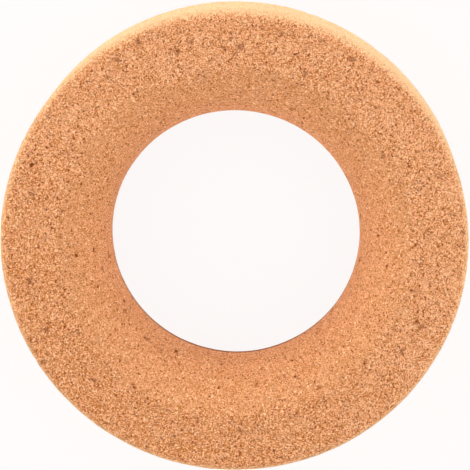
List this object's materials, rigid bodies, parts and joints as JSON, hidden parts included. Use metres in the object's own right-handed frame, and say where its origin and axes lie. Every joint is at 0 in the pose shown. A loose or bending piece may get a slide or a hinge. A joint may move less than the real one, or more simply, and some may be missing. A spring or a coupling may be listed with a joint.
{
  "type": "cork ring",
  "caption": "Flat cork ring pressed from granules. A rounded seat narrows to a round throat and holds a round-bottom flask upright on a bench.",
  "frame": {"origin": "centre of the ring in the plane of its underside", "axes": "+Z along the ring's axis, up from the underside to the flat top; the ring is round about Z, so X and Y are free"},
  "size_m": [0.14, 0.14, 0.03],
  "materials": {
    "cork": "matt, bare pressed cork granules, a little smoother in the seat than on the flat top"
  },
  "bodies": {
    "root": {"cork_ring": "cork"}
  },
  "joints": []
}
